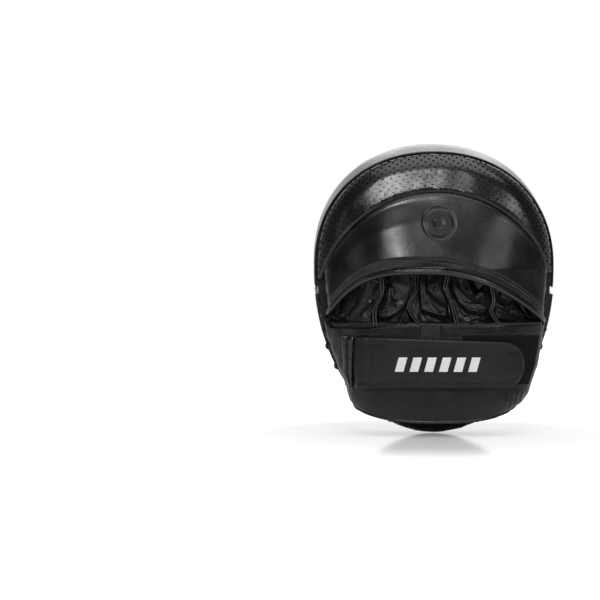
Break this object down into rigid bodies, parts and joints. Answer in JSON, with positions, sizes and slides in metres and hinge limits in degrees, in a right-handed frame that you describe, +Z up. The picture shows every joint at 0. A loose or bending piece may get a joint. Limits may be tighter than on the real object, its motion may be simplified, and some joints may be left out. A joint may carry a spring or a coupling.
{
  "type": "boxing focus mitt",
  "caption": "Padded leather hand pad for catching punches: round striking face with a red target, hooded finger stalls behind and a wrist strap with hook-and-loop end.",
  "frame": {"origin": "middle of the mitt's box in plan, at the height of its lowest point", "axes": "+Z up the height of the pad towards the finger tips, +Y out of the striking face, -Y out of the hand side, +X to the free end of the strap"},
  "size_m": [0.2112, 0.087, 0.2557],
  "materials": {
    "face_leather": "semi-gloss black grained leather",
    "target_leather": "satin red leather",
    "red_thread": "waxed thread",
    "mark_ink": "black screen print",
    "leather_trim": "rolled black leather binding",
    "wall_leather": "glossy black leather",
    "lace_leather": "waxed black leather lace",
    "foam": "open-cell foam",
    "dense_foam": "closed-cell foam",
    "board": "fibre board",
    "lining_fabric": "black nylon lining",
    "leather_perforated": "perforated black leather",
    "leather_smooth": "semi-gloss black leather",
    "leather_soft": "soft creased black leather",
    "black_thread": "waxed thread",
    "eyelet_plastic": "satin black eyelet",
    "elastic_web": "ribbed elastic",
    "loop_fabric": "fuzzy loop fastener",
    "hook_tape": "hooked fastener tape",
    "strap_leather": "satin black leather",
    "white_print": "white print"
  },
  "bodies": {
    "mitt": {"face_leather": "face_leather", "target_patch": "target_leather", "target_stitching": "red_thread", "target_mark": "mark_ink", "face_piping": "leather_trim", "face_welt": "leather_trim", "side_wall_upper": "wall_leather", "side_wall_lower": "wall_leather", "back_piping": "leather_trim", "lace_flange": "leather_trim", "lace": "lace_leather", "lace_knots": "lace_leather", "front_foam": "foam", "dense_foam": "dense_foam", "stiffener_board": "board", "back_foam": "foam", "back_panel": "lining_fabric", "palm_grip_cover": "leather_soft", "palm_grip_core": "foam", "perforated_panel": "leather_perforated", "crescent_padding": "foam", "hood_outer": "leather_smooth", "hood_padding": "foam", "hood_lining": "lining_fabric", "hood_binding": "leather_trim", "hood_stitching": "black_thread", "little_stall": "leather_soft", "ring_stall": "leather_soft", "middle_stall": "leather_soft", "index_stall": "leather_soft", "thumb_stall": "leather_soft", "stall_seams": "leather_trim", "vent_eyelets": "eyelet_plastic", "cuff_sleeve": "leather_soft", "cuff_lining": "lining_fabric", "cuff_band_left": "leather_smooth", "cuff_band_right": "leather_smooth", "elastic_insert": "elastic_web", "cuff_hem": "leather_trim", "loop_patch": "loop_fabric", "strap_anchor": "leather_trim"},
    "strap_root": {"strap_base": "strap_leather", "strap_base_stitching": "black_thread", "strap_base_marks": "white_print"},
    "strap_end": {"strap_tip": "strap_leather", "strap_tip_stitching": "black_thread", "strap_tip_marks": "white_print", "hook_patch": "hook_tape"}
  },
  "joints": [
    {"name": "strap_fold", "type": "hinge", "parent": "mitt", "child": "strap_root", "pos_m": [-0.0689, -0.0306, 0.0631], "axis": [0, 0, -1], "range_deg": [0, 100]},
    {"name": "strap_peel", "type": "hinge", "parent": "strap_root", "child": "strap_end", "pos_m": [0, -0.0432, 0.063], "axis": [0, 0, -1], "range_deg": [0, 70]}
  ]
}
